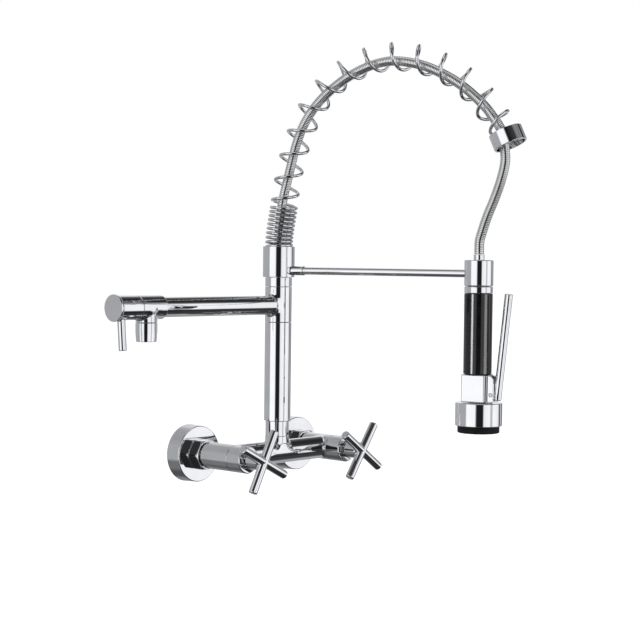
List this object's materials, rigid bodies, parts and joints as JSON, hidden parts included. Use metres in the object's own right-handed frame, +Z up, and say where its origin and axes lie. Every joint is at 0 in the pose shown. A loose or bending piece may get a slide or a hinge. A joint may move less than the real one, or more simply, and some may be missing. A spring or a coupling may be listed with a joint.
{
  "type": "pre rinse faucet",
  "caption": "Wall mounted bridge faucet with a swivel spout with its own end valve, and a sprung hose arch that feeds a pull down spray wand docked on an arm.",
  "frame": {"origin": "on the wall plane, midway between the two wall inlets at their height", "axes": "+Z up, +Y into the wall, +X along the wall to the right as seen from the room"},
  "size_m": [0.3334, 0.3417, 0.4598],
  "materials": {
    "chrome": "polished",
    "hose_steel": "fine spiral ribbed",
    "steel": "plain",
    "brass": "machined",
    "black_rubber": "matte",
    "black_gloss": "gloss",
    "white_plastic": "matte"
  },
  "bodies": {
    "base": {"wall_flange_left": "chrome", "inlet_connector_left": "brass", "union_nut_left": "chrome", "union_gasket_left": "black_rubber", "valve_tail_left": "brass", "cartridge_left": "brass", "bonnet_left": "chrome", "wall_flange_right": "chrome", "inlet_connector_right": "brass", "union_nut_right": "chrome", "union_gasket_right": "black_rubber", "valve_tail_right": "brass", "cartridge_right": "brass", "bonnet_right": "chrome", "bridge_body": "chrome", "neck_coupling": "chrome", "riser": "chrome", "swivel_ring": "chrome", "spout_bush_lower": "white_plastic", "spout_bush_upper": "white_plastic", "spout_seal_lower": "black_rubber", "spout_seal_upper": "black_rubber", "tower_bush": "white_plastic", "tower_seal": "black_rubber"},
    "handle_left": {"stem_left": "brass", "cross_handle_left": "chrome", "handle_screw_left": "steel"},
    "handle_right": {"stem_right": "brass", "cross_handle_right": "chrome", "handle_screw_right": "steel"},
    "spout": {"spout_arm": "chrome", "spout_head": "chrome", "spout_valve_core": "brass", "aerator_housing": "chrome", "aerator_washer": "black_rubber", "aerator_insert": "white_plastic"},
    "spout_valve": {"spout_valve_cap": "chrome", "spout_valve_stem": "brass", "spout_valve_lever": "chrome"},
    "tower": {"tower_collar": "chrome", "collar_screw": "steel", "holder_arm": "chrome", "arm_sleeve": "chrome", "dock_ring": "chrome", "hose_adapter": "brass", "arch_spring": "chrome", "hose_arch": "hose_steel", "hose_drop": "hose_steel", "spring_end_collar": "chrome"},
    "wand": {"hose_ferrule": "chrome", "wand_neck": "chrome", "grip_sleeve": "black_gloss", "grip_core": "brass", "valve_block": "chrome", "lever_pin": "steel", "spray_head_shell": "chrome", "spray_diverter": "white_plastic", "spray_face": "black_rubber"},
    "squeeze_lever": {"trigger_lever": "chrome"},
    "plunger": {"valve_plunger": "steel"}
  },
  "joints": [
    {"name": "handle_left_turn", "type": "hinge", "parent": "base", "child": "handle_left", "pos_m": [-0.075, -0.1, 0], "axis": [0, -1, 0], "range_deg": [0, 90]},
    {"name": "handle_right_turn", "type": "hinge", "parent": "base", "child": "handle_right", "pos_m": [0.075, -0.1, 0], "axis": [0, -1, 0], "range_deg": [-90, 0]},
    {"name": "spout_swivel", "type": "hinge", "parent": "base", "child": "spout", "pos_m": [0, -0.058, 0.1575], "axis": [0, 0, 1], "range_deg": [-8, 50]},
    {"name": "spout_valve_turn", "type": "hinge", "parent": "spout", "child": "spout_valve", "pos_m": [-0.2, -0.058, 0.1567], "axis": [-1, 0, 0], "range_deg": [-5, 85]},
    {"name": "tower_swivel", "type": "hinge", "parent": "base", "child": "tower", "pos_m": [0, -0.058, 0.2], "axis": [0, 0, 1], "range_deg": [-20, 80]},
    {"name": "wand_pull", "type": "slide", "parent": "tower", "child": "wand", "axis": [0, 0, -1], "range_m": [0, 0.1], "stiffness_N_per_m": 150, "springref_m": -0.08, "deforming": ["hose_drop"]},
    {"name": "lever_squeeze", "type": "hinge", "parent": "wand", "child": "squeeze_lever", "pos_m": [0.05853, -0.29992, 0.0735], "axis": [-0.972, -0.2351, 0], "range_deg": [0, 6], "stiffness_Nm_per_rad": 1.5, "springref_deg": -5.73},
    {"name": "plunger_push", "type": "slide", "parent": "wand", "child": "plunger", "axis": [-0.2351, 0.972, 0], "range_m": [0, 0.0013]}
  ],
  "couplings": [
    {"joint": "plunger_push", "follows": "lever_squeeze", "m_per_rad": 0.0115}
  ]
}
